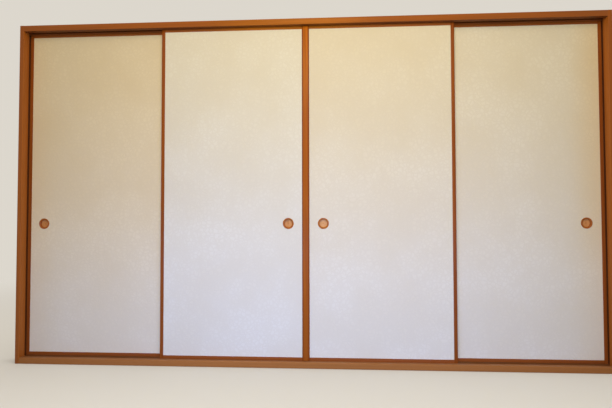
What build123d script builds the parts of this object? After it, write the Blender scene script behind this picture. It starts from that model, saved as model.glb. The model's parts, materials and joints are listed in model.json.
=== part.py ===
from build123d import *
import os

# Four sliding paper-covered door leaves in a grooved timber frame, closed.
# Millimetres. +X runs along the frame, +Y from its front to its back, +Z up.
# The origin is under the middle of the sill.

# Frame: head rail, sill and two jambs
opening_width = 3485.0
opening_height = 2000.0
jamb_face = 25.0
head_face = 36.0
sill_face = 36.0
front_lip = 30.0
ridge_width = 12.0
back_lip = 21.0
head_groove_depth = 15.0
sill_groove_depth = 3.0
seat_depth = 5.0
arris = 1.5

# Clearances of the leaves in the frame
groove_play = 0.75
lift_play = 5.0
jamb_gap = 1.0
centre_gap = 1.5
lap_cover = 1.0

# Leaf edging
leaf_depth = 19.5
stile_face = 21.0
top_rail_face = 27.0
bottom_rail_face = 21.0
lip_lap = 2.0
edge_round = 1.5

# Papered panel and its core
paper_recess = 1.0
paper_thickness = 0.5
batten_face = 27.0
strip_face = 12.0
upright_strips = 2
strips_below_pull = 4
strips_above_pull = 5
board_height = 150.0
corner_leg = 75.0
corner_thickness = 5.5

# Round finger pull
pull_inset = 104.0
pull_height = 812.0
rim_radius = 33.0
rim_height = 2.4
rim_bevel = 1.4
rim_slope_width = 4.0
rim_slope_depth = 3.0
cup_radius = 26.0
cup_wall = 3.0
cup_depth = 12.5
cup_floor = 2.0
cup_play = 0.2
pin_size = 1.3
pin_length = 12.0

# Meeting cover on the inner right leaf
cover_width = 42.0
cover_thickness = 7.0
cover_round = 5.0
cover_relief = 0.5
cover_end_play = 3.0
cover_peg_size = 6.0
cover_peg_length = 8.0
cover_pegs_count = 5
cover_peg_margin = 160.0

# Square-cut nails and bottom glides
nail_length = 36.0
nail_shank = 2.4
nail_head = 5.0
nail_head_thickness = 1.5
nail_sink = 1.0
nail_play = 0.05
nails_per_stile = 4
nails_per_rail = 2
stile_nail_margin = 130.0
rail_nail_margin = 170.0
frame_nail_length = 65.0
frame_nail_shank = 3.4
frame_nail_head = 7.0
glide_length = 40.0
glide_width = 12.0
glide_height = 1.5
glide_margin = 90.0
peg_size = 4.0
peg_length = 7.0

# What follows from them
groove_width = leaf_depth + 2 * groove_play
frame_depth = front_lip + 2 * groove_width + ridge_width + back_lip
front_face = -frame_depth / 2
back_face = frame_depth / 2
sill_top = sill_face
soffit = sill_top + opening_height
frame_top = soffit + head_face
front_groove = front_face + front_lip
back_groove = front_groove + groove_width + ridge_width

leaf_lap = stile_face + lap_cover
leaf_width = (opening_width - 2 * jamb_gap - centre_gap + 2 * leaf_lap) / 4
leaf_bottom = sill_top - sill_groove_depth + glide_height
leaf_top = soffit + head_groove_depth - lift_play
leaf_height = leaf_top - leaf_bottom

core_front = paper_recess + paper_thickness
core_back = leaf_depth - core_front
middle_depth = leaf_depth / 2

panel_near = stile_face - lip_lap
panel_far = leaf_width - panel_near
panel_low = bottom_rail_face - lip_lap
panel_high = leaf_height - top_rail_face + lip_lap
inner_near = panel_near + batten_face
inner_far = panel_far - batten_face
inner_low = panel_low + batten_face
inner_high = panel_high - batten_face

board_far = 2 * pull_inset - inner_near
board_low = pull_height - board_height / 2
board_high = pull_height + board_height / 2
board_bore = cup_radius + cup_play
rim_inner = cup_radius - cup_wall
pin_radius = (board_bore + rim_radius) / 2

cover_low = sill_top + cover_end_play
cover_high = soffit - cover_end_play
meeting_face = front_groove + groove_play

low_corner = (Align.MIN, Align.MIN, Align.MIN)
centre_back = (Align.MIN, Align.CENTER, Align.CENTER)


def block(x, y, z):
    """A rectangular block between two limits on each axis."""
    size = Box(x[1] - x[0], y[1] - y[0], z[1] - z[0], align=low_corner)
    return Pos(x[0], y[0], z[0]) * size


def rectangle(low, high):
    """A flat rectangle between two corners."""
    size = Rectangle(high[0] - low[0], high[1] - low[1], align=(Align.MIN, Align.MIN))
    return Pos(*low) * size


def evenly(first, last, count):
    """Places from first to last, both kept."""
    return [first + (last - first) * i / (count - 1) for i in range(count)]


# Frame

def grooved_rail(groove_depth, face):
    """Head or sill section: two grooves with a ridge between, grooves at z = 0."""
    section = rectangle((front_face, 0), (back_face, face))
    for start in (front_groove, back_groove):
        section -= rectangle((start, 0), (start + groove_width, groove_depth))
    front = section.vertices().sort_by(Axis.X)[:2]
    section = chamfer(front, arris)
    return extrude(Plane.YZ * section, opening_width / 2, both=True)


def head_rail():
    return Pos(0, 0, soffit) * grooved_rail(head_groove_depth, head_face) - frame_nail_holes()


def sill():
    upright = grooved_rail(sill_groove_depth, sill_face)
    return Pos(0, 0, sill_top) * mirror(upright, about=Plane.XY) - frame_nail_holes()


def left_jamb():
    """Full-height jamb with a shallow seat behind the front groove for the outer leaf."""
    inner = -opening_width / 2
    section = rectangle((inner - jamb_face, front_face), (inner, back_face))
    section = chamfer(section.vertices().sort_by(Axis.Y)[:2], arris)
    jamb = extrude(section, frame_top)
    seat = block((inner - seat_depth, inner),
                 (front_groove + groove_width, back_groove + groove_width),
                 (sill_top - sill_groove_depth, soffit + head_groove_depth))
    return jamb - seat - frame_nail_holes()


def square_nail(length, shank, head, grow=0.0):
    """A square-cut nail along +X, its head's outer face at x = 0."""
    body = Box(length + grow, shank + 2 * grow, shank + 2 * grow, align=centre_back)
    top = Box(nail_head_thickness + grow, head + 2 * grow, head + 2 * grow, align=centre_back)
    return body + top


def nail_hole(length, shank, head):
    """The room for that nail, open above its head."""
    mouth = nail_head_thickness + nail_sink + nail_play
    sink = Pos(-nail_sink, 0, 0) * Box(mouth, head + 2 * nail_play, head + 2 * nail_play,
                                       align=centre_back)
    return square_nail(length, shank, head, nail_play) + sink


def frame_nail_places():
    """Two nails at each corner of the frame, in the solid lips."""
    start = opening_width / 2 + jamb_face - nail_sink
    corners = [(y, z)
               for y in (front_face + front_lip / 2, back_face - back_lip / 2)
               for z in (sill_face / 2, soffit + head_face / 2)]
    left = [Pos(-start, y, z) for y, z in corners]
    right = [Pos(start, y, z) * Rot(0, 0, 180) for y, z in corners]
    return left + right


def frame_nails():
    nail = square_nail(frame_nail_length, frame_nail_shank, frame_nail_head)
    return [place * nail for place in frame_nail_places()]


def frame_nail_holes():
    hole = nail_hole(frame_nail_length, frame_nail_shank, frame_nail_head)
    return [place * hole for place in frame_nail_places()]


# One leaf: x from the edge nearest its pull, y from its front, z from its bottom rail

def stile_section():
    """Stile by the pull: rounded outside, grooved for the panel, so its lips hide the paper's edge."""
    section = rectangle((0, 0), (stile_face, leaf_depth))
    outer = section.vertices().sort_by(Axis.X)[:2]
    section = fillet(outer, edge_round)
    return section - rectangle((panel_near, paper_recess), (stile_face, leaf_depth - paper_recess))


def pull_stile():
    return extrude(stile_section(), leaf_height) - leaf_nail_holes()


def lap_stile():
    flipped = Pos(leaf_width, 0, 0) * mirror(extrude(stile_section(), leaf_height), about=Plane.YZ)
    return flipped - leaf_nail_holes()


def rail(face):
    """Rail between the stiles, grooved on top for the panel, with a tongue in each stile's groove."""
    section = rectangle((0, 0), (leaf_depth, face))
    section -= rectangle((paper_recess, face - lip_lap), (leaf_depth - paper_recess, face))
    body = Pos(stile_face, 0, 0) * extrude(Plane.YZ * section, leaf_width - 2 * stile_face)
    tongues = block((panel_near, panel_far), (paper_recess, leaf_depth - paper_recess), (0, face - lip_lap))
    return body + tongues


def bottom_rail():
    return rail(bottom_rail_face) - leaf_nail_holes() - [place * glide() for place in glide_places()]


def top_rail():
    return Pos(0, 0, leaf_height) * mirror(rail(top_rail_face), about=Plane.XY) - leaf_nail_holes()


def glide():
    """Nylon pad with a peg up into the rail; the pad's top is at z = 0."""
    pad = Pos(0, 0, -glide_height) * Box(glide_length, glide_width, glide_height,
                                         align=(Align.CENTER, Align.CENTER, Align.MIN))
    peg = Box(peg_size, peg_size, peg_length, align=(Align.CENTER, Align.CENTER, Align.MIN))
    return pad + peg


def glide_places():
    return [Pos(x, middle_depth, 0) for x in (glide_margin, leaf_width - glide_margin)]


def leaf_nail_places():
    """Nails through the stiles along X and through the rails along Z, into the battens."""
    heights = evenly(stile_nail_margin, leaf_height - stile_nail_margin, nails_per_stile)
    lengths = evenly(rail_nail_margin, leaf_width - rail_nail_margin, nails_per_rail)
    near = [Pos(nail_sink, middle_depth, z) for z in heights]
    far = [Pos(leaf_width - nail_sink, middle_depth, z) * Rot(0, 0, 180) for z in heights]
    low = [Pos(x, middle_depth, nail_sink) * Rot(0, -90, 0) for x in lengths]
    high = [Pos(x, middle_depth, leaf_height - nail_sink) * Rot(0, 90, 0) for x in lengths]
    return near + far + low + high


def leaf_nail_holes():
    hole = nail_hole(nail_length, nail_shank, nail_head)
    return [place * hole for place in leaf_nail_places()]


# Core of the leaf: halved battens, half-lapped strips, corner blocks and the pull's board

def core_frame():
    """Four battens halved into each other at the corners, and a triangular block in each corner."""
    depth = (core_front, core_back)
    front_half = (core_front, middle_depth)
    back_half = (middle_depth, core_back)
    battens = []
    for x in ((panel_near, inner_near), (inner_far, panel_far)):
        upright = block(x, depth, (panel_low, panel_high))
        upright -= block(x, back_half, (panel_low, inner_low))
        upright -= block(x, back_half, (inner_high, panel_high))
        battens.append(upright - leaf_nail_holes())
    for z in ((panel_low, inner_low), (inner_high, panel_high)):
        level = block((panel_near, panel_far), depth, z)
        level -= block((panel_near, inner_near), front_half, z)
        level -= block((inner_far, panel_far), front_half, z)
        battens.append(level - leaf_nail_holes())
    return battens + corner_blocks()


def corner_blocks():
    start = middle_depth - corner_thickness / 2
    blocks = []
    for x, x_way in ((inner_near, 1), (inner_far, -1)):
        for z, z_way in ((inner_low, 1), (inner_high, -1)):
            corners = Polygon((x, z), (x + x_way * corner_leg, z), (x, z + z_way * corner_leg), align=None)
            blocks.append(Pos(0, start, 0) * extrude(Plane.XZ * corners, -corner_thickness))
    return blocks


def upright_places():
    """Near side of each upright strip: one beside the pull's board, the rest spread evenly."""
    free = inner_far - board_far - strip_face
    cell = (free - upright_strips * strip_face) / (upright_strips + 1)
    return [board_far + i * (cell + strip_face) for i in range(upright_strips + 1)]


def level_places():
    """Underside of each level strip: one right under and one right over the pull's board."""
    low_pitch = (board_low - inner_low) / strips_below_pull
    high_pitch = (inner_high - board_high) / strips_above_pull
    below = [inner_low + (i + 1) * low_pitch - strip_face for i in range(strips_below_pull)]
    above = [board_high + i * high_pitch for i in range(strips_above_pull)]
    return below + above


def core_lattice():
    """Strips that cross in half laps: uprights are cut from the back, levels from the front."""
    strips = []
    for x in upright_places():
        upright = block((x, x + strip_face), (core_front, core_back), (inner_low, inner_high))
        laps = [block((x, x + strip_face), (middle_depth, core_back), (z, z + strip_face))
                for z in level_places()]
        strips.append(upright - laps)
    for z in level_places():
        level = block((inner_near, inner_far), (core_front, core_back), (z, z + strip_face))
        laps = [block((x, x + strip_face), (core_front, middle_depth), (z, z + strip_face))
                for x in upright_places()]
        strips.append(level - laps)
    return strips


def from_front(radius, depth):
    """A round plug at the pull's centre, from the paper's face inwards."""
    plug = Cylinder(radius, depth, align=(Align.CENTER, Align.CENTER, Align.MIN))
    return Pos(pull_inset, paper_recess, pull_height) * Rot(-90, 0, 0) * plug


def handle_board():
    """Solid board in the lattice cell at the pull, bored for the ring and dish from the front."""
    board = block((inner_near, board_far), (core_front, core_back), (board_low, board_high))
    return board - from_front(board_bore, cup_depth + cup_play) - rim_pin_holes()


# Papers

def front_paper():
    sheet = block((panel_near, panel_far), (paper_recess, core_front), (panel_low, panel_high))
    return sheet - from_front(board_bore, cup_depth) - rim_pin_holes()


def back_paper():
    return block((panel_near, panel_far), (core_back, core_back + paper_thickness), (panel_low, panel_high))


# Pull

def turned(section):
    """A section in radius and height, turned about the pull's axis, its height towards the front."""
    body = revolve(Plane.XZ * section, Axis.Z)
    return Pos(pull_inset, paper_recess, pull_height) * Rot(90, 0, 0) * body


def handle_cup():
    """Flat dish at the bottom of the bore, held there by the ring's wall."""
    return turned(rectangle((0, -cup_depth), (cup_radius, cup_floor - cup_depth)))


def handle_rim():
    """Turned ring: a flange on the paper that slopes inwards, and a wall down the bore to the dish."""
    wall = rectangle((rim_inner, cup_floor - cup_depth), (cup_radius, 0))
    section = rectangle((rim_inner, 0), (rim_radius, rim_height)) + wall
    outer_top = section.vertices().sort_by(Axis.Y)[-2:].sort_by(Axis.X)[-1]
    slope = Polygon((rim_inner, rim_height), (rim_inner + rim_slope_width, rim_height),
                    (rim_inner, rim_height - rim_slope_depth), align=None)
    return turned(chamfer(outer_top, rim_bevel) - slope) - rim_pin_holes()


def rim_pin_places():
    return [Pos(pull_inset, paper_recess - rim_height, pull_height + way * pin_radius) * Rot(0, 0, 90)
            for way in (1, -1)]


def rim_pins():
    """Two square-cut brads through the flange, level with its face, into the board."""
    pin = Box(pin_length, pin_size, pin_size, align=centre_back)
    return [place * pin for place in rim_pin_places()]


def rim_pin_holes():
    size = pin_size + 2 * nail_play
    hole = Box(pin_length + nail_play, size, size, align=centre_back)
    return [place * hole for place in rim_pin_places()]


def fixings():
    nail = square_nail(nail_length, nail_shank, nail_head)
    return [place * nail for place in leaf_nail_places()] + rim_pins()


# Meeting cover, built in its place in the frame

def meeting_cover():
    """Rounded strip over both meeting stiles: pegged to the right one, relieved over the left one."""
    half = cover_width / 2
    section = rectangle((-half, meeting_face - cover_thickness), (half, meeting_face))
    section = fillet(section.vertices().sort_by(Axis.Y)[:2], cover_round)
    section -= rectangle((-half, meeting_face - cover_relief), (centre_gap / 2, meeting_face))
    strip = Pos(0, 0, cover_low) * extrude(section, cover_high - cover_low)
    return strip - cover_pegs(nail_play)


def cover_pegs(play=0.0):
    """Square pegs half in the cover and half in the middle of the stile behind it."""
    across = cover_peg_size + 2 * play
    peg = Box(across, cover_peg_length + 2 * play, across)
    middle = (centre_gap + stile_face) / 2
    heights = evenly(cover_low + cover_peg_margin, cover_high - cover_peg_margin, cover_pegs_count)
    return [Pos(middle, meeting_face, z) * peg for z in heights]


# Leaves in their places

track_faces = {"front": meeting_face, "back": back_groove + groove_play}
leaves = {
    "outer_left": {"track": "back", "pull_edge": -opening_width / 2 + jamb_gap, "way": 1},
    "inner_left": {"track": "front", "pull_edge": -centre_gap / 2, "way": -1},
    "inner_right": {"track": "front", "pull_edge": centre_gap / 2, "way": 1},
    "outer_right": {"track": "back", "pull_edge": opening_width / 2 - jamb_gap, "way": -1},
}


def leaf_pieces():
    """Every piece of a leaf whose pull is on its left."""
    return {
        "core_frame": core_frame(),
        "core_lattice": core_lattice(),
        "handle_board": handle_board(),
        "front_paper": front_paper(),
        "back_paper": back_paper(),
        "pull_stile": pull_stile(),
        "lap_stile": lap_stile(),
        "top_rail": top_rail(),
        "bottom_rail": bottom_rail(),
        "handle_cup": handle_cup(),
        "handle_rim": handle_rim(),
        "fixings": fixings(),
        "glides": [place * glide() for place in glide_places()],
    }


def place_leaf(piece, leaf):
    """Set a piece, or each solid of a group, in its track, mirrored where the pull is on the right."""
    solids = piece if isinstance(piece, list) else [piece]
    if leaf["way"] < 0:
        solids = [mirror(solid, about=Plane.YZ) for solid in solids]
    where = Pos(leaf["pull_edge"], track_faces[leaf["track"]], leaf_bottom)
    return [where * solid for solid in solids]


def whole_part():
    right_jamb = mirror(left_jamb(), about=Plane.YZ)
    parts = {
        "head_rail": [head_rail()],
        "sill": [sill()],
        "left_jamb": [left_jamb()],
        "right_jamb": [right_jamb],
        "frame_nails": frame_nails(),
        "meeting_cover": [meeting_cover()],
        "cover_pegs": cover_pegs(),
    }
    pieces = leaf_pieces()
    for name, leaf in leaves.items():
        for piece, solids in pieces.items():
            parts[name + "_" + piece] = place_leaf(solids, leaf)
    stile = parts["inner_right_pull_stile"][0]
    parts["inner_right_pull_stile"] = [stile - cover_pegs(nail_play)]
    return parts


os.makedirs("parts", exist_ok=True)
for node, solids in whole_part().items():
    shape = solids[0] if len(solids) == 1 else Compound(children=list(solids))
    export_step(shape, "parts/" + node + ".step")
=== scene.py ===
import json
import math

import bpy
from mathutils import Euler, Matrix, Vector

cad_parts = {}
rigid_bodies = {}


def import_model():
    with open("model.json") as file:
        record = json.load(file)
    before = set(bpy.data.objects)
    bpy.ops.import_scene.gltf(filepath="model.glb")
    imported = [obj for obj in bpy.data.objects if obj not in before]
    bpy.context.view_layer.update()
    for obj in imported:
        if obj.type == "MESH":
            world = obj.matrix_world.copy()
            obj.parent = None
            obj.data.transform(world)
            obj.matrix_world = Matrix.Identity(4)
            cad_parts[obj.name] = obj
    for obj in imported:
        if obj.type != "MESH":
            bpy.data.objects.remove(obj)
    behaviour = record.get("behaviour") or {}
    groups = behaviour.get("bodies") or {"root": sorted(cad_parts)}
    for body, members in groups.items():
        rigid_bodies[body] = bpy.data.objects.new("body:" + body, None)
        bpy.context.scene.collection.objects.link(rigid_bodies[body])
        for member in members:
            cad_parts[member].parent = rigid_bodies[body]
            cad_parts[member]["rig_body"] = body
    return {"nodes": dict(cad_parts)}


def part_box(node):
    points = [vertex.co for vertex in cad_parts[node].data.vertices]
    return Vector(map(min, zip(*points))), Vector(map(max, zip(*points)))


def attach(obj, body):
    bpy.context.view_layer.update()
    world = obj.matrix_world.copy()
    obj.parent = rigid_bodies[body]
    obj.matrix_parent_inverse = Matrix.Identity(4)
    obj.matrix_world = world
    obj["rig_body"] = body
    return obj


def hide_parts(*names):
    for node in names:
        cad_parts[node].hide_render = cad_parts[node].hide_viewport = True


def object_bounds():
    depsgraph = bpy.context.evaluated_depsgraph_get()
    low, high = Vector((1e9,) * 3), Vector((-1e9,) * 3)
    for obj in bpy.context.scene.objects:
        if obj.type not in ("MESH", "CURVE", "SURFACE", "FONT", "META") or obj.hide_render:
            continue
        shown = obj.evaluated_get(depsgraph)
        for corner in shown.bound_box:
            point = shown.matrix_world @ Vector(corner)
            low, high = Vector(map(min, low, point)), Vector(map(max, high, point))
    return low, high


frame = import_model()
cadLow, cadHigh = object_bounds()
nodes = frame["nodes"]
leafNames = ["outer_left", "inner_left", "inner_right", "outer_right"]
print("frame loaded:", len(nodes), "nodes")


# Camera, at the photograph's place

photoCamera = {
    "place": (0.1470, -2.6220, 0.8896),  # metres
    "turnLeft": 3.200,                   # degrees
    "tiltUp": 1.604,
    "lean": -0.120,
    "focalPixels": 436.75,
    "imageWidth": 612,
    "sensorWidth": 36.0,                 # millimetres
    "clip": (0.05, 200.0),
}


def setCamera(look):
    lens = bpy.data.cameras.new("photoCamera")
    lens.sensor_fit = "HORIZONTAL"
    lens.sensor_width = look["sensorWidth"]
    lens.lens = look["focalPixels"] / look["imageWidth"] * look["sensorWidth"]
    lens.clip_start, lens.clip_end = look["clip"]
    camera = bpy.data.objects.new("photoCamera", lens)
    bpy.context.scene.collection.objects.link(camera)
    level = Euler((math.radians(90 + look["tiltUp"]), 0, math.radians(look["turnLeft"])))
    turned = level.to_matrix() @ Matrix.Rotation(math.radians(look["lean"]), 3, "Z")
    camera.rotation_euler = turned.to_euler()
    camera.location = look["place"]
    bpy.context.scene.camera = camera


setCamera(photoCamera)
bpy.context.scene.view_settings.view_transform = "Standard"
print("camera set")


# Node helpers. A value may be a number, a colour or the socket that feeds it.

def addNode(tree, kind, inputs=None, **settings):
    node = tree.nodes.new(kind)
    for name, value in settings.items():
        setattr(node, name, value)
    for name, value in (inputs or {}).items():
        if isinstance(value, bpy.types.NodeSocket):
            tree.links.new(value, node.inputs[name])
        else:
            node.inputs[name].default_value = value
    return node


def maths(tree, operation, first, second=0.0, third=0.0, clamp=False):
    node = addNode(tree, "ShaderNodeMath", {0: first, 1: second, 2: third}, operation=operation)
    node.use_clamp = clamp
    return node.outputs[0]


def vectorMaths(tree, operation, first, second=None):
    # SCALE takes a number as its second value, and LENGTH and DISTANCE give one
    inputs = {0: first}
    if second is not None:
        inputs["Scale" if operation == "SCALE" else 1] = second
    node = addNode(tree, "ShaderNodeVectorMath", inputs, operation=operation)
    return node.outputs["Value" if operation in ("LENGTH", "DISTANCE") else "Vector"]


def axesOf(tree, vector):
    return addNode(tree, "ShaderNodeSeparateXYZ", {0: vector}).outputs


def mixColours(tree, factor, first, second, blend="MIX"):
    first, second = ((*colour, 1) if isinstance(colour, (tuple, list)) else colour
                     for colour in (first, second))
    # the node's colour sockets are inputs 6 and 7 and output 2
    node = addNode(tree, "ShaderNodeMix", {0: factor, 6: first, 7: second},
                   data_type="RGBA", blend_type=blend)
    return node.outputs[2]


def remap(tree, value, low, high, toLow=0.0, toHigh=1.0, smooth=True):
    node = addNode(tree, "ShaderNodeMapRange", {"Value": value, "From Min": low, "From Max": high,
                                                "To Min": toLow, "To Max": toHigh})
    node.interpolation_type = "SMOOTHSTEP" if smooth else "LINEAR"
    return node.outputs[0]


def noise(tree, vector, scale, detail=2.0, roughness=0.5, output="Fac", distortion=0.0):
    node = addNode(tree, "ShaderNodeTexNoise",
                   {"Vector": vector, "Scale": scale, "Detail": detail, "Roughness": roughness,
                    "Distortion": distortion})
    return node.outputs[output]


def bands(tree, value, scale, detail):
    # noise along one number
    node = addNode(tree, "ShaderNodeTexNoise", {"W": value, "Scale": scale, "Detail": detail},
                   noise_dimensions="1D")
    return node.outputs["Fac"]


def mapped(tree, vector, location=(0, 0, 0), rotation=(0, 0, 0), scale=(1, 1, 1)):
    node = addNode(tree, "ShaderNodeMapping", {"Vector": vector, "Location": location,
                                               "Rotation": rotation, "Scale": scale})
    return node.outputs[0]


def newGroup(name, inputs, outputs):
    tree = bpy.data.node_groups.new(name, "ShaderNodeTree")
    for label, kind, value in inputs:
        socket = tree.interface.new_socket(label, in_out="INPUT", socket_type="NodeSocket" + kind)
        if value is not None:
            socket.default_value = value
    for label in outputs:
        tree.interface.new_socket(label, in_out="OUTPUT", socket_type="NodeSocketFloat")
    source = tree.nodes.new("NodeGroupInput").outputs
    sink = tree.nodes.new("NodeGroupOutput").inputs
    return tree, source, sink


def putOut(tree, sink, values):
    for label, value in values.items():
        tree.links.new(value, sink[label])


def useGroup(tree, group, inputs):
    return addNode(tree, "ShaderNodeGroup", inputs, node_tree=group).outputs


def newMaterial(name, constants, roughness=0.6):
    # constants: shader socket -> a value that is the same all over the surface
    material = bpy.data.materials.new(name)
    material.use_nodes = True
    tree = material.node_tree
    shader = tree.nodes["Principled BSDF"]
    shader.inputs["Roughness"].default_value = roughness
    for socket, value in constants.items():
        shader.inputs[socket].default_value = value
    place = tree.nodes.new("ShaderNodeTexCoord").outputs["Object"]
    return material, tree, shader, place


def wire(tree, shader, colour, roughness, height=None, strength=1.0, distance=0.001):
    tree.links.new(colour, shader.inputs["Base Color"])
    tree.links.new(roughness, shader.inputs["Roughness"])
    if height is not None:
        bump = addNode(tree, "ShaderNodeBump",
                       {"Height": height, "Strength": strength, "Distance": distance})
        tree.links.new(bump.outputs[0], shader.inputs["Normal"])


# Shared effects. Lengths are in metres, and noise scales are per metre.

middleGrey = (0.5, 0.5, 0.5)

grainPattern = {
    "wander": (7, 7, 1.3),                         # across, across and along the grain
    "yearScale": 85.0, "yearShift": 3.5,           # good and lean years move the rings
    "depthScale": 240.0, "depthStart": 3.0,        # and make some of them fainter
    "faintest": 0.25,
    "ragged": (300, 300, 6), "raggedShare": 0.22,
    "lateRise": 2.6, "lateEnd": 0.90,              # late wood darkens slowly and ends sharply
    "streaks": (70, 70, 0.8), "fibreStretch": 0.014,
    "poreCells": (0.7, 0.7, 4.5), "poreSize": (0.06, 0.20),
    "contrast": (0.3, 0.7),
    "relief": (0.45, 0.35, 0.5),                   # rings and fibres raised, pores sunk
}


def makePlankGrain():
    # solid wood: growth rings round Z, broad streaks and fine fibres along Z
    look = grainPattern
    tree, source, sink = newGroup(
        "plankGrain",
        [("Vector", "Vector", None), ("Ring Gap", "Float", 0.004), ("Sway", "Float", 0.004),
         ("Fibre Width", "Float", 0.0007)],
        ["Rings", "Streaks", "Fibres", "Pores", "Height"])
    vector = source["Vector"]
    wander = noise(tree, mapped(tree, vector, scale=look["wander"]), scale=1.0, output="Color")
    centred = vectorMaths(tree, "SUBTRACT", wander, middleGrey)
    bent = vectorMaths(tree, "ADD", vector, vectorMaths(tree, "SCALE", centred, source["Sway"]))
    radius = vectorMaths(tree, "LENGTH", vectorMaths(tree, "MULTIPLY", bent, (1, 1, 0)))
    years = bands(tree, radius, look["yearScale"], detail=2.0)
    shift = maths(tree, "MULTIPLY", years, look["yearShift"])
    ringCount = maths(tree, "ADD", maths(tree, "DIVIDE", radius, source["Ring Gap"]), shift)
    uneven = noise(tree, mapped(tree, vector, scale=look["ragged"]), scale=1.0)
    ragged = maths(tree, "MULTIPLY", uneven, look["raggedShare"])
    phase = maths(tree, "FRACT", maths(tree, "ADD", ringCount, ragged))
    late = maths(tree, "POWER", phase, look["lateRise"])
    closing = remap(tree, phase, look["lateEnd"], 1.0, 1.0, 0.0)
    elsewhere = maths(tree, "ADD", radius, look["depthStart"])
    depth = bands(tree, elsewhere, look["depthScale"], detail=1.0)
    strength = remap(tree, depth, *look["contrast"], look["faintest"], 1.0)
    rings = maths(tree, "MULTIPLY", maths(tree, "MULTIPLY", late, closing), strength)
    soft = {"scale": 1.0, "detail": 3.0, "roughness": 0.6}
    broad = noise(tree, mapped(tree, vector, scale=look["streaks"]), **soft)
    streaks = remap(tree, broad, *look["contrast"])
    across = maths(tree, "DIVIDE", 1.0, source["Fibre Width"])
    alongGrain = maths(tree, "MULTIPLY", across, look["fibreStretch"])
    stretch = addNode(tree, "ShaderNodeCombineXYZ", {0: across, 1: across, 2: alongGrain})
    fibrePlace = vectorMaths(tree, "MULTIPLY", vector, stretch.outputs[0])
    fibres = remap(tree, noise(tree, fibrePlace, **soft), *look["contrast"])
    cells = addNode(tree, "ShaderNodeTexVoronoi",
                    {"Vector": mapped(tree, fibrePlace, scale=look["poreCells"]), "Scale": 1.0})
    pores = remap(tree, cells.outputs["Distance"], *look["poreSize"], 1.0, 0.0)
    raisedRings, raisedFibres, sunkPores = (
        maths(tree, "MULTIPLY", part, share)
        for part, share in zip((rings, fibres, pores), look["relief"]))
    height = maths(tree, "SUBTRACT", maths(tree, "ADD", raisedRings, raisedFibres), sunkPores)
    putOut(tree, sink, {"Rings": rings, "Streaks": streaks, "Fibres": fibres, "Pores": pores,
                        "Height": height})
    return tree


def makeLatheMarks():
    # fine circles left by the turning tool, round the origin of Vector
    tree, source, sink = newGroup(
        "latheMarks", [("Vector", "Vector", None), ("Pitch", "Float", 0.0006)], ["Marks", "Radius"])
    radius = vectorMaths(tree, "LENGTH", vectorMaths(tree, "MULTIPLY", source["Vector"], (1, 0, 1)))
    turns = maths(tree, "DIVIDE", radius, source["Pitch"])
    marks = bands(tree, turns, scale=1.0, detail=3.0)
    putOut(tree, sink, {"Marks": marks, "Radius": radius})
    return tree


def makeBoxMask():
    # 1 between two corners
    tree, source, sink = newGroup(
        "boxMask", [("Vector", "Vector", None), ("Low", "Vector", None), ("High", "Vector", None)],
        ["Mask"])
    above = vectorMaths(tree, "SUBTRACT", source["Vector"], source["Low"])
    below = vectorMaths(tree, "SUBTRACT", source["High"], source["Vector"])
    nearest = vectorMaths(tree, "MINIMUM", above, below)
    sides = axesOf(tree, nearest)
    smallest = maths(tree, "MINIMUM", maths(tree, "MINIMUM", sides["X"], sides["Y"]), sides["Z"])
    putOut(tree, sink, {"Mask": maths(tree, "GREATER_THAN", smallest, 0.0)})
    return tree


scuffPattern = {"detail": 5.0, "roughness": 0.65,
                "edge": 0.72, "edgePerShare": 0.4, "softness": 0.12}


def makeScuffs():
    # patches of light wear: 1 where the finish is rubbed
    look = scuffPattern
    tree, source, sink = newGroup(
        "scuffs", [("Vector", "Vector", None), ("Size", "Float", 0.05), ("Share", "Float", 0.2)],
        ["Mask"])
    scale = maths(tree, "DIVIDE", 1.0, source["Size"])
    broad = noise(tree, source["Vector"], scale, look["detail"], look["roughness"])
    edge = maths(tree, "SUBTRACT", look["edge"],
                 maths(tree, "MULTIPLY", source["Share"], look["edgePerShare"]))
    mask = remap(tree, broad, edge, maths(tree, "ADD", edge, look["softness"]))
    putOut(tree, sink, {"Mask": mask})
    return tree


dustPattern = {"slope": (0.5, 0.95), "scale": 14.0, "detail": 5.0, "roughness": 0.6,
               "contrast": (0.35, 0.65), "thinnest": 0.45}


def makeDust():
    # dust lies on faces that look up, in soft patches
    look = dustPattern
    tree, source, sink = newGroup(
        "dust", [("Vector", "Vector", None), ("Amount", "Float", 0.3)], ["Mask"])
    facing = addNode(tree, "ShaderNodeTexCoord").outputs["Normal"]
    up = remap(tree, axesOf(tree, facing)["Z"], *look["slope"])
    cloud = noise(tree, source["Vector"], look["scale"], look["detail"], look["roughness"])
    patches = remap(tree, cloud, *look["contrast"], look["thinnest"], 1.0)
    lying = maths(tree, "MULTIPLY", up, patches)
    mask = maths(tree, "MULTIPLY", lying, source["Amount"], clamp=True)
    putOut(tree, sink, {"Mask": mask})
    return tree


crinklePattern = {
    "bendScale": 26.0, "bend": 0.035,
    "coarseLine": (0.02, 0.26), "fineLine": (0.02, 0.30), "finerBy": 2.7,
    "fineScale": 18.0, "finePlaces": (0.42, 0.6),
    "fibreStretch": (1, 1, 0.45), "fibreCurl": 1.4,
    "cloudScale": 2.2,
    "relief": {"motif": 0.8, "fibres": 0.2},
}


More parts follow.
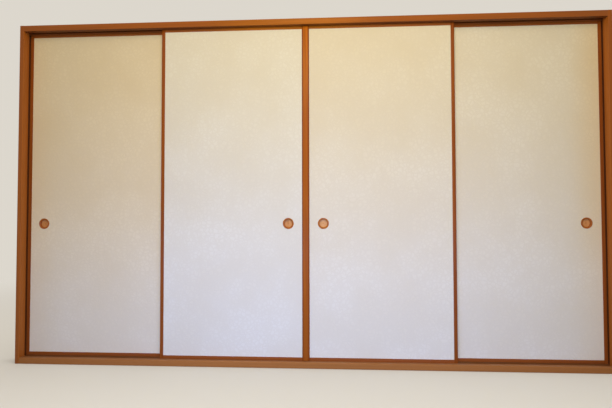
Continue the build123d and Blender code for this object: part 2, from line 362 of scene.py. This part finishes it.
def makeCrinkle():
    # pressed paper: a net of crinkles, a finer one inside it, and the fibres of the sheet
    look = crinklePattern
    tree, source, sink = newGroup(
        "crinkledPaper",
        [("Vector", "Vector", None), ("Motif Size", "Float", 0.024),
         ("Fibre Size", "Float", 0.0016)],
        ["Motif", "Fibres", "Cloud", "Height"])
    vector = source["Vector"]
    push = noise(tree, vector, look["bendScale"], detail=3.0, output="Color")
    centred = vectorMaths(tree, "SUBTRACT", push, middleGrey)
    bent = vectorMaths(tree, "ADD", vector, vectorMaths(tree, "SCALE", centred, look["bend"]))

    def crackLines(scale, line):
        cells = addNode(tree, "ShaderNodeTexVoronoi", {"Vector": bent, "Scale": scale},
                        feature="DISTANCE_TO_EDGE")
        return remap(tree, cells.outputs["Distance"], *line, 1.0, 0.0)

    scale = maths(tree, "DIVIDE", 1.0, source["Motif Size"])
    coarseLines = crackLines(scale, look["coarseLine"])
    fineLines = crackLines(maths(tree, "MULTIPLY", scale, look["finerBy"]), look["fineLine"])
    inside = remap(tree, noise(tree, vector, look["fineScale"]), *look["finePlaces"])
    motif = maths(tree, "MAXIMUM", coarseLines, maths(tree, "MULTIPLY", fineLines, inside))
    fibreScale = maths(tree, "DIVIDE", 1.0, source["Fibre Size"])
    fibres = noise(tree, mapped(tree, vector, scale=look["fibreStretch"]), fibreScale,
                   detail=4.0, roughness=0.7, distortion=look["fibreCurl"])
    cloud = noise(tree, vector, look["cloudScale"], detail=3.0)
    height = maths(tree, "ADD", maths(tree, "MULTIPLY", motif, look["relief"]["motif"]),
                   maths(tree, "MULTIPLY", fibres, look["relief"]["fibres"]))
    putOut(tree, sink, {"Motif": motif, "Fibres": fibres, "Cloud": cloud, "Height": height})
    return tree


plankGrain = makePlankGrain()
latheMarks = makeLatheMarks()
boxMask = makeBoxMask()
scuffs = makeScuffs()
dust = makeDust()
crinkle = makeCrinkle()
print("effects made")


# Wood finishes. Colours are linear.

# some finishes set how strongly they take the painted warm highlight round the middle of the head
woods = {
    "frameWood": {
        "dark": (0.117, 0.018, 0.003), "light": (0.332, 0.075, 0.007), "worn": (0.40, 0.14, 0.030),
        "ringGap": 0.0042, "sway": 0.010, "roughness": 0.40, "coat": 0.06, "bump": 0.00025,
        "scuffShare": 0.18, "dust": 0.15, "kept": 0.8},
    "edgeWood": {
        "dark": (0.130, 0.025, 0.004), "light": (0.305, 0.076, 0.010), "worn": (0.37, 0.12, 0.030),
        "ringGap": 0.0030, "sway": 0.006, "roughness": 0.38, "coat": 0.08, "bump": 0.0002,
        "scuffShare": 0.2, "dust": 0.12, "kept": 1.0},
    # the cover's sides: where painted shade on its rounded sides starts and where it is full, in
    # metres
    "coverWood": {
        "dark": (0.205, 0.041, 0.005), "light": (0.410, 0.108, 0.009), "worn": (0.44, 0.17, 0.035),
        "ringGap": 0.0036, "sway": 0.006, "roughness": 0.36, "coat": 0.10, "bump": 0.0002,
        "scuffShare": 0.15, "dust": 0.1, "kept": 1.0, "sides": (0.0110, 0.0170)},
    # the bottom rails: darker than the edging wood as painted shade, and more scuffed
    "footWood": {
        "dark": (0.110, 0.020, 0.003), "light": (0.245, 0.055, 0.006), "worn": (0.31, 0.09, 0.020),
        "ringGap": 0.0030, "sway": 0.006, "roughness": 0.42, "coat": 0.04, "bump": 0.0002,
        "scuffShare": 0.3, "dust": 0.15},
    "sillWood": {
        "dark": (0.17, 0.047, 0.008), "light": (0.35, 0.118, 0.023), "worn": (0.45, 0.19, 0.055),
        "ringGap": 0.0045, "sway": 0.010, "roughness": 0.54, "coat": 0.02, "bump": 0.0003,
        "scuffShare": 0.4, "dust": 0.12},
    "ringWood": {
        "dark": (0.26, 0.068, 0.013), "light": (0.50, 0.165, 0.034), "worn": (0.54, 0.24, 0.075),
        "ringGap": 0.0024, "sway": 0.003, "roughness": 0.34, "coat": 0.15, "bump": 0.0001,
        "scuffShare": 0.2, "dust": 0.0},
    "dishWood": {
        "dark": (0.46, 0.19, 0.060), "light": (0.71, 0.37, 0.155), "worn": (0.73, 0.43, 0.20),
        "ringGap": 0.0028, "sway": 0.003, "roughness": 0.38, "coat": 0.12, "bump": 0.0001,
        "scuffShare": 0.2, "dust": 0.0},
    "coreWood": {
        "dark": (0.46, 0.31, 0.16), "light": (0.70, 0.54, 0.34), "worn": (0.74, 0.60, 0.42),
        "ringGap": 0.0040, "sway": 0.008, "roughness": 0.7, "coat": 0.0, "bump": 0.0003,
        "scuffShare": 0.1, "dust": 0.2},
}
# how figure, wear, dust and painted side shade lie over the light tone of any wood
woodMix = {
    "rings": 0.62, "fibres": 0.16, "streaks": 0.42,
    "pores": 0.35, "poreTone": 0.45,
    "toolMarks": 0.22, "toolContrast": (0.35, 0.65), "grainUnderMarks": 0.5,
    "rubbed": 0.30, "rubbedSize": 0.035, "arris": 0.40,
    "dustTone": (0.55, 0.51, 0.44),
    "sides": 0.9,
    "shadePowers": (0.5, 1.0, 1.8),                # red, green, blue
    "roughness": (-0.05, 0.08), "rubbedRoughness": 0.10, "dustRoughness": 0.35,
    "bumpStrength": 0.6, "specular": 0.14, "coatRoughness": 0.22,
}
# painted warm highlight round the middle of the head: lighter and more orange; in metres
keptLacquer = {"middle": (-0.10, -0.05, 2.0), "full": 0.2, "gone": 0.6, "tone": (1.28, 1.38, 0.55)}
# the darker button in the middle of a pull's dish: where its tone fades out, in metres
button = {"edge": (0.0050, 0.0062), "share": 0.42}
quarter = math.radians(90)
grainTurns = {"up": (0, 0, 0), "level": (0, -quarter, 0)}


# where in its tree each plank was sawn, in metres, and its lean out of the tree's axis, in degrees
sawn = {
    "from": (0.083, 0.061), "step": (0.0137, 0.0191), "within": (0.05, 0.04), "upTree": 0.37,
    "lean": 0.5, "leanSpread": 0.9, "leanSteps": (1.7, 2.9),
}


def plankCuts():
    number = 0
    while True:
        number += 1
        across = [start + step * number % within for start, step, within in
                  zip(sawn["from"], sawn["step"], sawn["within"])]
        lean = [math.radians(sawn["lean"] + sawn["leanSpread"] * math.sin(number * step))
                for step in sawn["leanSteps"]]
        yield (*across, sawn["upTree"] * number), lean


planks = plankCuts()


def makeWood(name, finish, grain, turnedAt=None, patches=(), shade=1.0):
    # patches: low corner, high corner, colour and share of painted shade, painted light and darker
    # grooves
    # shade: painted light and shade; below 1 the wood is darker and redder, above 1 lighter and
    # paler
    look = woods[finish]
    light, dark = ([part * shade ** power for part, power in zip(look[key], woodMix["shadePowers"])]
                   for key in ("light", "dark"))
    material, tree, shader, place = newMaterial(name, {
        "Coat Weight": look["coat"], "Coat Roughness": woodMix["coatRoughness"],
        "Specular IOR Level": woodMix["specular"]})
    cut, lean = next(planks)
    along = mapped(tree, place, rotation=grainTurns[grain])
    plank = mapped(tree, along, location=cut, rotation=(lean[0], lean[1], 0))
    grained = useGroup(tree, plankGrain,
                       {"Vector": plank, "Ring Gap": look["ringGap"], "Sway": look["sway"]})
    rings, fibres, streaks, pores = (
        maths(tree, "MULTIPLY", grained[part], woodMix[part.lower()])
        for part in ("Rings", "Fibres", "Streaks", "Pores"))
    toned = maths(tree, "ADD", maths(tree, "ADD", rings, fibres), streaks, clamp=True)
    colour = mixColours(tree, toned, light, dark)
    colour = mixColours(tree, pores, colour, [woodMix["poreTone"] * part for part in dark])
    height = grained["Height"]
    if turnedAt:
        centred = mapped(tree, place, location=[-part for part in turnedAt])
        turning = useGroup(tree, latheMarks, {"Vector": centred})
        marks = maths(tree, "MULTIPLY", remap(tree, turning["Marks"], *woodMix["toolContrast"]),
                      woodMix["toolMarks"])
        colour = mixColours(tree, marks, colour, dark)
        middle = remap(tree, turning["Radius"], *button["edge"], button["share"], 0.0)
        colour = mixColours(tree, middle, colour, dark)
        height = maths(tree, "ADD", maths(tree, "MULTIPLY", height, woodMix["grainUnderMarks"]),
                       turning["Marks"])
    rubbed = useGroup(tree, scuffs, {"Vector": place, "Size": woodMix["rubbedSize"],
                                     "Share": look["scuffShare"]})["Mask"]
    # the finish is thinner on the eased edges
    edge = addNode(tree, "ShaderNodeAttribute", attribute_name="arris").outputs["Fac"]
    worn = maths(tree, "MAXIMUM", maths(tree, "MULTIPLY", rubbed, woodMix["rubbed"]),
                 maths(tree, "MULTIPLY", edge, woodMix["arris"]))
    colour = mixColours(tree, worn, colour, look["worn"])
    # painted warm highlight round the middle of the head, reaching the inner leaves' top rails
    if "kept" in look:
        away = vectorMaths(tree, "DISTANCE", place, keptLacquer["middle"])
        kept = remap(tree, away, keptLacquer["full"], keptLacquer["gone"], look["kept"], 0.0)
        colour = mixColours(tree, kept, colour, keptLacquer["tone"], blend="MULTIPLY")
    dusty = useGroup(tree, dust, {"Vector": place, "Amount": look["dust"]})["Mask"]
    colour = mixColours(tree, dusty, colour, woodMix["dustTone"])
    for patchLow, patchHigh, tone, share in patches:
        corners = {"Vector": place, "Low": patchLow, "High": patchHigh}
        inside = maths(tree, "MULTIPLY", useGroup(tree, boxMask, corners)["Mask"], share)
        colour = mixColours(tree, inside, colour, tone)
    if "sides" in look:
        # painted shade: the face is darker where it rounds over to its sides
        fromMiddle = maths(tree, "ABSOLUTE", axesOf(tree, place)["X"])
        side = maths(tree, "MULTIPLY", remap(tree, fromMiddle, *look["sides"]), woodMix["sides"])
        colour = mixColours(tree, side, colour, dark)
    smoothest, roughest = (look["roughness"] + step for step in woodMix["roughness"])
    uneven = remap(tree, grained["Fibres"], 0, 1, smoothest, roughest, smooth=False)
    dulled = maths(tree, "ADD", maths(tree, "MULTIPLY", rubbed, woodMix["rubbedRoughness"]),
                   maths(tree, "MULTIPLY", dusty, woodMix["dustRoughness"]))
    roughness = maths(tree, "ADD", uneven, dulled, clamp=True)
    wire(tree, shader, colour, roughness, height, woodMix["bumpStrength"], look["bump"])
    return material


# Papers

papers = {
    "front": {
        "ground": (0.735, 0.690, 0.590), "motif": (0.660, 0.600, 0.485),
        "shade": (0.700, 0.640, 0.520), "motifSize": 0.024, "motifStrength": 0.5, "bump": 0.0006},
    "back": {
        "ground": (0.62, 0.585, 0.50), "motif": (0.56, 0.52, 0.43),
        "shade": (0.595, 0.555, 0.47), "motifSize": 0.060, "motifStrength": 0.12, "bump": 0.0002},
}
paperMix = {
    "cloud": (0.35, 0.65),
    "fleck": (0.82, 0.79, 0.71), "fleckSize": (0.62, 0.74), "fleckShare": 0.22,
    "groundRoughness": 0.82, "motifRoughness": 0.58,   # the pressed lines carry a little mica
    "bumpStrength": 0.5, "specular": 0.35, "sheen": 0.08, "sheenRoughness": 0.5,
}
# painted warm light on the front papers: a warm tint, stronger beside the jambs and weaker towards
# the foot
paintedWarmLight = {
    "tint": (0.98, 0.86, 0.66),
    "besideJamb": (1.50, 1.72),      # metres from the middle
    "height": (0.1, 1.0), "atFoot": 0.35,
    # how strongly each front paper carries painted warm light: all over, and beside its jamb
    "leaves": {"outer_left": (0.75, 0.20), "inner_left": (0.0, 0.0), "inner_right": (0.28, 0.0),
               "outer_right": (0.22, 0.70)},
}


def makePaper(name, look, shift, warmShares=None):
    material, tree, shader, place = newMaterial(name, {
        "Specular IOR Level": paperMix["specular"], "Sheen Weight": paperMix["sheen"],
        "Sheen Roughness": paperMix["sheenRoughness"]})
    sheet = mapped(tree, place, location=shift)
    pressed = useGroup(tree, crinkle, {"Vector": sheet, "Motif Size": look["motifSize"]})
    cloud = remap(tree, pressed["Cloud"], *paperMix["cloud"])
    colour = mixColours(tree, cloud, look["ground"], look["shade"])
    motif = maths(tree, "MULTIPLY", pressed["Motif"], look["motifStrength"])
    colour = mixColours(tree, motif, colour, look["motif"])
    fleck = remap(tree, pressed["Fibres"], *paperMix["fleckSize"], 0.0, paperMix["fleckShare"])
    colour = mixColours(tree, fleck, colour, paperMix["fleck"])
    # painted warm light, stronger beside the jambs and weaker towards the foot
    if warmShares:
        allOver, atJamb = warmShares
        axes = axesOf(tree, place)
        beside = remap(tree, maths(tree, "ABSOLUTE", axes["X"]), *paintedWarmLight["besideJamb"])
        upper = remap(tree, axes["Z"], *paintedWarmLight["height"], paintedWarmLight["atFoot"], 1.0)
        spread = maths(tree, "MULTIPLY_ADD", beside, atJamb, allOver)
        warmth = maths(tree, "MULTIPLY", spread, upper, clamp=True)
        colour = mixColours(tree, warmth, colour, paintedWarmLight["tint"], blend="MULTIPLY")
    roughness = remap(tree, pressed["Motif"], 0, 1, paperMix["groundRoughness"],
                      paperMix["motifRoughness"], smooth=False)
    wire(tree, shader, colour, roughness, pressed["Height"], paperMix["bumpStrength"], look["bump"])
    return material


# Steel and nylon

nails = {
    "bright": (0.30, 0.27, 0.24), "tarnished": (0.20, 0.115, 0.07),
    "spotSize": 0.002, "spotShare": 0.5, "roughness": (0.34, 0.62),
}
glides = {
    "clean": (0.72, 0.70, 0.64), "rubbed": (0.60, 0.57, 0.50),
    "streaks": (0.08, 1, 1), "scale": 900.0, "rubbedFrom": (0.35, 0.7),
    "dullFrom": (0.3, 0.7), "roughness": (0.30, 0.5),
}


def makeSteel():
    material, tree, shader, place = newMaterial("nailSteel", {"Metallic": 1.0})
    spots = useGroup(tree, scuffs, {"Vector": place, "Size": nails["spotSize"],
                                    "Share": nails["spotShare"]})["Mask"]
    colour = mixColours(tree, spots, nails["bright"], nails["tarnished"])
    wire(tree, shader, colour, remap(tree, spots, 0, 1, *nails["roughness"]))
    return material


def makeNylon():
    material, tree, shader, place = newMaterial("glideNylon", {}, roughness=0.4)
    streaked = mapped(tree, place, scale=glides["streaks"])
    rub = noise(tree, streaked, glides["scale"], detail=3.0)
    rubbed = remap(tree, rub, *glides["rubbedFrom"])
    colour = mixColours(tree, rubbed, glides["clean"], glides["rubbed"])
    wire(tree, shader, colour, remap(tree, rub, *glides["dullFrom"], *glides["roughness"]))
    return material


nailSteel = makeSteel()
glideNylon = makeNylon()


def paint(target, material):
    for slot in target.material_slots:
        slot.material = material


# Frame and edging: a copy of each node with its sharp edges eased

easing = {
    "frame": 0.0008, "edging": 0.0006, "cover": 0.0005,  # metres
    "segments": 2, "merge": 0.00001,
    "flatTo": 0.6, "sharpFrom": 28, "smoothTo": 40,      # degrees
}


def deselectAll():
    bpy.ops.object.select_all(action="DESELECT")


def activate(piece):
    deselectAll()
    piece.select_set(True)
    bpy.context.view_layer.objects.active = piece


def easedCopy(nodeName, width, material):
    source = nodes[nodeName]
    piece = bpy.data.objects.new(nodeName + "_eased", source.data.copy())
    bpy.context.scene.collection.objects.link(piece)
    activate(piece)
    bpy.ops.mesh.customdata_custom_splitnormals_clear()
    bpy.ops.object.mode_set(mode="EDIT")
    bpy.ops.mesh.select_mode(type="EDGE")
    bpy.ops.mesh.select_all(action="SELECT")
    bpy.ops.mesh.remove_doubles(threshold=easing["merge"])
    bpy.ops.mesh.dissolve_limited(angle_limit=math.radians(easing["flatTo"]))
    bpy.ops.mesh.select_all(action="DESELECT")
    bpy.ops.mesh.edges_select_sharp(sharpness=math.radians(easing["sharpFrom"]))
    bpy.ops.mesh.bevel(offset=width, segments=easing["segments"], profile=0.5, clamp_overlap=True)
    bpy.ops.object.mode_set(mode="OBJECT")
    # the bevel leaves its new faces selected
    arris = piece.data.attributes.new("arris", "FLOAT", "FACE")
    for face in piece.data.polygons:
        arris.data[face.index].value = 1.0 if face.select else 0.0
    bpy.ops.object.shade_smooth_by_angle(angle=math.radians(easing["smoothTo"]))
    paint(piece, material)
    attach(piece, source["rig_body"])
    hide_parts(nodeName)
    return piece


def dressWood(nodeName, finish, grain, width, patches=()):
    material = makeWood(finish + "_" + nodeName, finish, grain, patches=patches)
    piece = easedCopy(nodeName, width, material)


# the grooves, seats and reveals that the leaves slide and close into, in metres
tracks = {
    "face": -0.0515,        # just behind the frame's front face
    "near": -0.0230,        # just before the near groove
    "ridge": -0.0018,       # just before the ridge, and the jambs' seats
    "far": 0.0320,          # just behind the far groove
    "ends": (-2, 2), "upright": (0.03, 2.06),
    "skin": 0.0004,         # how far a patch starts behind a plain face
    "margin": 0.002,        # how far it reaches out before a face
    "coverGap": 0.003,      # from the cover's ends to head and sill
    "jambWidth": 0.025,
    "headDepth": 0.016, "seatDepth": 0.006, "sillFrom": 0.0040, "sillTo": 0.0010,
    # dark: painted shade in the seats and grooves and under the head's lip; next the sill's grooves
    # painted darker; then painted light on the jambs' reveals
    "dark": (0.060, 0.014, 0.003), "sillGrooveDark": (0.085, 0.025, 0.006),
    "revealLight": (0.46, 0.145, 0.022),
    "headShadeShare": 0.75, "underHeadShadeShare": 0.45, "sillShare": 0.75,
    "seatShadeShare": 0.8, "revealLightShare": 0.7,
}
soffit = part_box("meeting_cover")[1].z + tracks["coverGap"]
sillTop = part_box("meeting_cover")[0].z - tracks["coverGap"]
jambInside = cadHigh.x - tracks["jambWidth"]


def patch(x, y, z, tone, share):
    # x, y and z: both ends of the patch, in any order
    low, high = zip(*(sorted(ends) for ends in (x, y, z)))
    return low, high, tracks[tone], tracks[share]


def jambPatches(side):
    skin, seatEnd, outside = (side * (jambInside + depth) for depth in
                              (tracks["skin"], tracks["seatDepth"], -tracks["margin"]))
    # painted shade in the jamb's seat
    return [patch((skin, seatEnd), (tracks["ridge"], tracks["far"]), tracks["upright"],
                  "dark", "seatShadeShare"),
            # painted light on the jamb's reveal
            patch((outside, skin), (tracks["face"], tracks["ridge"]), tracks["upright"],
                  "revealLight", "revealLightShare")]


grooves = (tracks["near"], tracks["far"])
# painted shade in the head's grooves and under its front lip
headPatches = [
    patch(tracks["ends"], grooves, (soffit + tracks["skin"], soffit + tracks["headDepth"]),
          "dark", "headShadeShare"),
    patch(tracks["ends"], (tracks["face"], tracks["near"]),
          (soffit - tracks["margin"], soffit + tracks["skin"]), "dark", "underHeadShadeShare")]
# the sill's grooves are painted darker
sillPatches = [
    patch(tracks["ends"], grooves, (sillTop - tracks["sillFrom"], sillTop + tracks["sillTo"]),
          "sillGrooveDark", "sillShare")]
dressWood("head_rail", "frameWood", "level", easing["frame"], headPatches)
dressWood("sill", "sillWood", "level", easing["frame"], sillPatches)
dressWood("left_jamb", "frameWood", "up", easing["frame"], jambPatches(-1))
dressWood("right_jamb", "frameWood", "up", easing["frame"], jambPatches(1))
dressWood("meeting_cover", "coverWood", "up", easing["cover"])
edging = {
    "pull_stile": ("edgeWood", "up"), "lap_stile": ("edgeWood", "up"),
    "top_rail": ("edgeWood", "level"), "bottom_rail": ("footWood", "level"),
}
for leaf in leafNames:
    for part, (finish, grain) in edging.items():
        dressWood(leaf + "_" + part, finish, grain, easing["edging"])
print("frame and edging dressed")


# Papers, core, nails and glides keep their solids

sheetSteps = (0.31, 0.47)  # metres from one leaf's part of the paper's pattern to the next
coreParts = {"core_frame": "frame", "core_lattice": "lattice", "handle_board": "board"}

for number, leaf in enumerate(leafNames):
    shift = (sheetSteps[0] * number, 0, sheetSteps[1] * number)
    frontPaper = makePaper("frontPaper_" + leaf, papers["front"], shift, paintedWarmLight["leaves"][leaf])
    paint(nodes[leaf + "_front_paper"], frontPaper)
    paint(nodes[leaf + "_back_paper"], makePaper("backPaper_" + leaf, papers["back"], shift))
    for part, label in coreParts.items():
        material = makeWood("coreWood_%s_%s" % (label, leaf), "coreWood", "up")
        paint(nodes[leaf + "_" + part], material)
    paint(nodes[leaf + "_fixings"], nailSteel)
    paint(nodes[leaf + "_glides"], glideNylon)
paint(nodes["frame_nails"], nailSteel)
paint(nodes["cover_pegs"], makeWood("coreWood_pegs", "coreWood", "up"))
print("papers, core and fixings dressed")


# Pulls: a turned ring and a turned dish, lathed on the axis of their nodes

millimetre = 0.001
pull = {
    "around": 96, "smoothTo": 30,
    # radius and height over the paper, in millimetres, from the outside of the flange inwards
    "ring": [(33.0, 0.05), (33.0, 0.8), (32.7, 1.4), (32.0, 1.95), (31.0, 2.3), (29.6, 2.4),
             (28.2, 2.36), (27.2, 2.0), (25.2, 0.6), (23.9, -0.4), (23.25, -1.0), (23.0, -1.8),
             (23.0, -9.6), (23.2, -10.2), (23.6, -10.45), (25.9, -10.45), (25.9, 0.05)],
    # from the back of the rim to the button in the middle
    "dish": [(25.9, -12.4), (25.9, -10.55), (23.3, -10.5), (22.7, -10.62), (21.8, -10.72),
             (21.2, -10.75), (20.8, -10.95), (20.2, -11.0), (16.0, -11.3), (11.0, -11.55),
             (7.0, -11.66), (6.2, -11.64), (5.7, -11.42), (5.0, -11.32), (2.2, -11.30)],
    # each pull's wood carries painted light and shade: darker on the outer leaves, lighter on the
    # inner ones
    "paintedLightShades": {"outer_left": 0.74, "inner_left": 0.90, "inner_right": 1.10, "outer_right": 0.80},
}


def lathe(name, centre, profile, closed):
    # a circle in front of the paper, drawn out ring by ring along Y
    start = profile[0]
    deselectAll()
    bpy.ops.mesh.primitive_circle_add(
        vertices=pull["around"], radius=start[0] * millimetre, fill_type="NOTHING",
        location=(centre.x, centre.y - start[1] * millimetre, centre.z), rotation=(quarter, 0, 0))
    piece = bpy.context.object
    piece.name = name
    bpy.ops.object.mode_set(mode="EDIT")
    bpy.ops.mesh.select_all(action="SELECT")
    before = start
    for radius, height in profile[1:]:
        step = (before[1] - height) * millimetre
        bpy.ops.mesh.extrude_region_move(TRANSFORM_OT_translate={"value": (0, step, 0)})
        shrink = radius / before[0]
        bpy.ops.transform.resize(
            value=(shrink, 1, shrink),
            center_override=(centre.x, centre.y - height * millimetre, centre.z))
        before = (radius, height)
    if not closed:
        bpy.ops.mesh.edge_face_add()
    bpy.ops.mesh.select_all(action="DESELECT")
    bpy.ops.mesh.select_non_manifold(extend=False)
    if closed:
        bpy.ops.mesh.bridge_edge_loops()
    else:
        bpy.ops.mesh.edge_face_add()
    bpy.ops.mesh.select_all(action="SELECT")
    bpy.ops.mesh.normals_make_consistent(inside=False)
    bpy.ops.object.mode_set(mode="OBJECT")
    bpy.ops.object.transform_apply(location=True, rotation=True, scale=True)
    bpy.ops.object.shade_smooth_by_angle(angle=math.radians(pull["smoothTo"]))
    return piece


def makePull(leaf, shade):
    low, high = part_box(leaf + "_handle_rim")
    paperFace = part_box(leaf + "_front_paper")[0].y
    centre = Vector(((low.x + high.x) / 2, paperFace, (low.z + high.z) / 2))

    def turn(part, closed):
        piece = lathe(leaf + "_pull_" + part, centre, pull[part], closed)
        finish = part + "Wood"
        material = makeWood(finish + "_" + leaf, finish, "up", turnedAt=centre, shade=shade)
        piece.data.materials.append(material)
        return piece

    body = leaf + "_leaf"
    ring = turn("ring", closed=True)
    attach(ring, body)
    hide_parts(leaf + "_handle_rim")
    dish = turn("dish", closed=False)
    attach(dish, body)
    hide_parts(leaf + "_handle_cup")


for leaf, shade in pull["paintedLightShades"].items():
    makePull(leaf, shade)
print("pulls turned")


# Floor, background and lamps

studio = {
    "backdrop": (0.72, 0.68, 0.61),
    "floor": (0.69, 0.665, 0.61),
    "floorBounce": (0.15, 0.14, 0.13),
    "ambient": (0.30, 0.235, 0.15),
    "floorRadius": 60, "floorSides": 96,
    # near the object the floor takes its light and shadow, far away it is the backdrop
    "nearGlow": 0.22, "fade": (1.4, 5.5),
}
lamps = {
    "highSoftbox": {
        "place": (0.15, -2.6, 2.5), "aim": (0.1, 0.0, 1.95), "size": (2.0, 0.9), "power": 39,
        "tint": (1.0, 0.88, 0.57), "inReflections": False, "onFloor": False},
    "frontSoftbox": {
        "place": (0.15, -3.0, 1.2), "aim": (0.1, 0.0, 1.4), "size": (2.0, 1.0), "power": 25,
        "tint": (1.0, 0.97, 0.45), "inReflections": False, "onFloor": False},
    "lowFill": {
        "place": (0.0, -1.6, 0.34), "aim": (0.0, 0.0, 0.25), "size": (3.0, 0.5), "power": 38,
        "tint": (0.22, 0.38, 1.0), "inReflections": False, "onFloor": False},
    "ceilingSoftbox": {
        "place": (0.15, -2.6, 3.4), "aim": (0.1, 0.0, 2.0), "size": (1.4, 1.0), "power": 18,
        "tint": (1.0, 0.80, 0.50), "inReflections": True, "onFloor": False},
    "backSoftbox": {
        "place": (0.0, 4.2, 2.6), "aim": (0.0, 0.0, 1.0), "size": (4.0, 2.4), "power": 170,
        "tint": (1.0, 0.95, 0.87), "inReflections": False, "onFloor": False},
    "floorSoftbox": {
        "place": (0.0, -0.3, 5.2), "aim": (0.0, -0.3, 0.0), "size": (5.0, 4.0), "power": 309,
        "tint": (0.95, 0.975, 1.0), "inReflections": False, "onFloor": True},
}


def backgroundSeen(tree):
    # what the camera, a reflection or glass sees
    path = tree.nodes.new("ShaderNodeLightPath").outputs
    seen = maths(tree, "MAXIMUM", path["Is Camera Ray"], path["Is Glossy Ray"])
    return maths(tree, "MAXIMUM", seen, path["Is Transmission Ray"])


def setWorld():
    world = bpy.data.worlds.new("studio")
    bpy.context.scene.world = world
    world.use_nodes = True
    tree = world.node_tree
    plain = tree.nodes["Background"]
    colour = mixColours(tree, backgroundSeen(tree), studio["ambient"], studio["backdrop"])
    tree.links.new(colour, plain.inputs["Color"])


def layFloor():
    deselectAll()
    bpy.ops.mesh.primitive_circle_add(vertices=studio["floorSides"], radius=studio["floorRadius"],
                                      fill_type="NGON", location=(0, 0, cadLow.z))
    floor = bpy.context.object
    floor.name = "floor"
    material, tree, shader, place = newMaterial(
        "floorPale", {"Specular IOR Level": 0.0}, roughness=1.0)
    seen = backgroundSeen(tree)
    colour = mixColours(tree, seen, studio["floorBounce"], studio["floor"])
    tree.links.new(colour, shader.inputs["Base Color"])
    glow = addNode(tree, "ShaderNodeEmission", {"Color": (*studio["backdrop"], 1)})
    distance = vectorMaths(tree, "LENGTH", place)
    fade = remap(tree, distance, *studio["fade"], studio["nearGlow"], 1.0)
    blend = addNode(tree, "ShaderNodeMixShader", {0: maths(tree, "MULTIPLY", fade, seen),
                                                  1: shader.outputs[0], 2: glow.outputs[0]})
    tree.links.new(blend.outputs[0], tree.nodes["Material Output"].inputs["Surface"])
    floor.data.materials.append(material)
    return floor


def hangLamps(floor):
    # one wide lamp lights the floor alone and the others leave it out, so no pool of light shows
    floorAlone = bpy.data.collections.new("floorAlone")
    floorAlone.objects.link(floor)
    allButFloor = bpy.data.collections.new("allButFloor")
    allButFloor.objects.link(floor)
    allButFloor.collection_objects[0].light_linking.link_state = "EXCLUDE"
    for name, look in lamps.items():
        light = bpy.data.lights.new(name, "AREA")
        light.shape = "RECTANGLE"
        light.size, light.size_y = look["size"]
        light.energy = look["power"]
        light.color = look["tint"]
        lamp = bpy.data.objects.new(name, light)
        bpy.context.scene.collection.objects.link(lamp)
        lamp.location = look["place"]
        lamp.visible_camera = False
        lamp.visible_glossy = look["inReflections"]
        lamp.light_linking.receiver_collection = floorAlone if look["onFloor"] else allButFloor
        aimed = Vector(look["aim"]) - Vector(look["place"])
        lamp.rotation_euler = aimed.to_track_quat("-Z", "Y").to_euler()


setWorld()
hangLamps(layFloor())
print("studio set")
